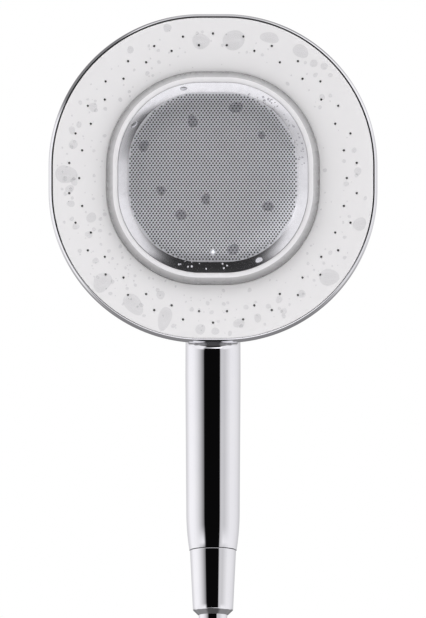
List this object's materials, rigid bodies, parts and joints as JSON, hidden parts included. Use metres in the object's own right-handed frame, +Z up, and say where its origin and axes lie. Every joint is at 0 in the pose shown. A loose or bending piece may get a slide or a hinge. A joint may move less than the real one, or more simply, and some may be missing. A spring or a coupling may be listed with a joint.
{
  "type": "shower speaker",
  "caption": "Hand shower with a rounded-square spray face and a removable wireless speaker docked in its middle, on a chromed handle with a swivel inlet.",
  "frame": {"origin": "on the handle's axis, in the middle of the inlet thread's length", "axes": "+Z up along the handle, +X to the right of someone facing the spray face, +Y away from them"},
  "size_m": [0.17, 0.0817, 0.3201],
  "materials": {
    "chromed_shell": "mirror polished chrome plating on ABS",
    "chromed_metal": "mirror polished chrome plating on brass",
    "white_face": "gloss",
    "nozzle_silicone": "satin",
    "inner_plastic": "matte",
    "dock_plastic": "satin",
    "seal_rubber": "matte",
    "magnet_metal": "satin",
    "screw_steel": "satin",
    "screen_metal": "satin",
    "grille_metal": "polished",
    "mesh_cloth": "matte",
    "bezel_plastic": "satin",
    "light_pipe": "gloss",
    "puck_plastic": "satin",
    "contact_gold": "polished",
    "basket_metal": "satin",
    "cone_paper": "matte",
    "coil_copper": "satin",
    "battery_wrap": "satin",
    "board_green": "satin",
    "chip_black": "matte",
    "button_rubber": "satin"
  },
  "bodies": {
    "handset": {"shell_and_handle": "chromed_shell", "end_cone": "chromed_metal", "spray_face": "white_face", "nozzle_mat": "nozzle_silicone", "water_plate": "inner_plastic", "face_seal": "seal_rubber", "inner_seal": "seal_rubber", "dock_cup": "dock_plastic", "dock_magnets": "magnet_metal", "magnet_cover": "inner_plastic", "head_screws": "screw_steel", "water_elbow": "inner_plastic", "water_tube": "inner_plastic", "tube_seals": "seal_rubber"},
    "swivel": {"swivel_nipple": "chromed_metal", "swivel_seals": "seal_rubber", "retaining_clip": "screw_steel", "inlet_screen": "screen_metal", "flow_regulator": "dock_plastic"},
    "speaker": {"speaker_grille": "grille_metal", "acoustic_mesh": "mesh_cloth", "bezel_ring": "bezel_plastic", "status_light": "light_pipe", "front_baffle": "puck_plastic", "rear_housing": "puck_plastic", "housing_seal": "seal_rubber", "housing_screws": "screw_steel", "charge_contacts": "contact_gold", "puck_magnets": "magnet_metal", "driver_frame": "basket_metal", "driver_screws": "screw_steel", "cone_surround": "seal_rubber", "driver_cone": "cone_paper", "dust_cap": "cone_paper", "voice_coil": "coil_copper", "top_plate": "basket_metal", "driver_magnet": "magnet_metal", "pole_piece": "basket_metal", "battery_pack": "battery_wrap", "circuit_board": "board_green", "board_chips": "chip_black", "tact_switches": "chip_black", "light_board": "board_green"},
    "power_button": {"power_button": "button_rubber"},
    "volume_up_button": {"volume_up_button": "button_rubber"},
    "volume_down_button": {"volume_down_button": "button_rubber"}
  },
  "joints": [
    {"name": "speaker_undock", "type": "slide", "parent": "handset", "child": "speaker", "axis": [0, -0.9613, -0.2756], "range_m": [0, 0.06]},
    {"name": "inlet_swivel", "type": "hinge", "parent": "handset", "child": "swivel", "pos_m": [0, 0, 0], "axis": [0, 0, 1], "continuous": true},
    {"name": "power_button_press", "type": "slide", "parent": "speaker", "child": "power_button", "axis": [0, -0.9613, -0.2756], "range_m": [0, 0.0008], "stiffness_N_per_m": 400, "springref_m": -0.0003},
    {"name": "volume_up_button_press", "type": "slide", "parent": "speaker", "child": "volume_up_button", "axis": [0, -0.9613, -0.2756], "range_m": [0, 0.0008], "stiffness_N_per_m": 400, "springref_m": -0.0003},
    {"name": "volume_down_button_press", "type": "slide", "parent": "speaker", "child": "volume_down_button", "axis": [0, -0.9613, -0.2756], "range_m": [0, 0.0008], "stiffness_N_per_m": 400, "springref_m": -0.0003}
  ]
}
